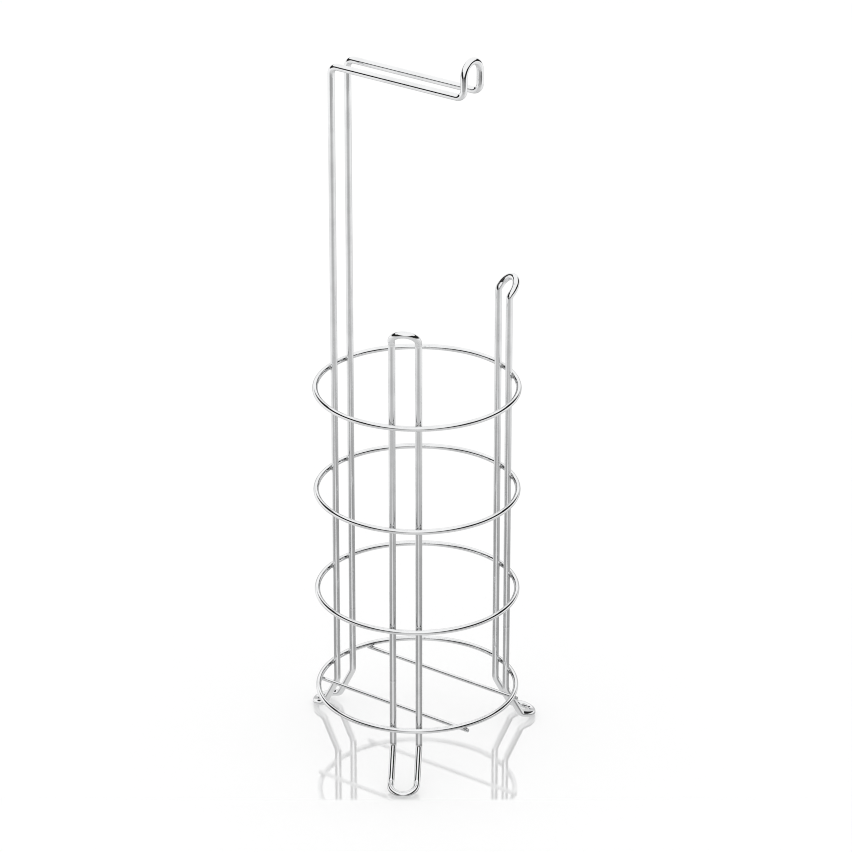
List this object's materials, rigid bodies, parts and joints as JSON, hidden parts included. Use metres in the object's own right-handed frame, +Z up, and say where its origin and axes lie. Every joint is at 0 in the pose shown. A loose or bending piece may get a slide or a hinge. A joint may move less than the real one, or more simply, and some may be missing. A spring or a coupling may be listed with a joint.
{
  "type": "toilet roll storage holder",
  "caption": "Free-standing wire stand: stacked rings hold a column of spare toilet rolls, and a tall loop ends in an arm for the roll in use.",
  "frame": {"origin": "on the axis of the rings, at floor level", "axes": "+Z up, +X the way the arm points away from the tall uprights, +Y to the left of that"},
  "size_m": [0.1737, 0.1722, 0.5514],
  "materials": {
    "loop_wire": "polished chrome plate on 5 mm steel wire",
    "ring_wire": "polished chrome plate on 4 mm steel wire",
    "base_wire": "polished chrome plate on 3 mm steel wire",
    "weld": "chrome plate over small resistance welds, slightly less smooth than the wire"
  },
  "bodies": {
    "root": {"ring_1": "ring_wire", "ring_2": "ring_wire", "ring_3": "ring_wire", "ring_4": "ring_wire", "tall_loop": "loop_wire", "right_leg_loop": "loop_wire", "left_leg_loop": "loop_wire", "right_base_wire": "base_wire", "left_base_wire": "base_wire", "ring_1_welds": "weld", "ring_2_welds": "weld", "ring_3_welds": "weld", "ring_4_welds": "weld", "base_welds": "weld"}
  },
  "joints": []
}
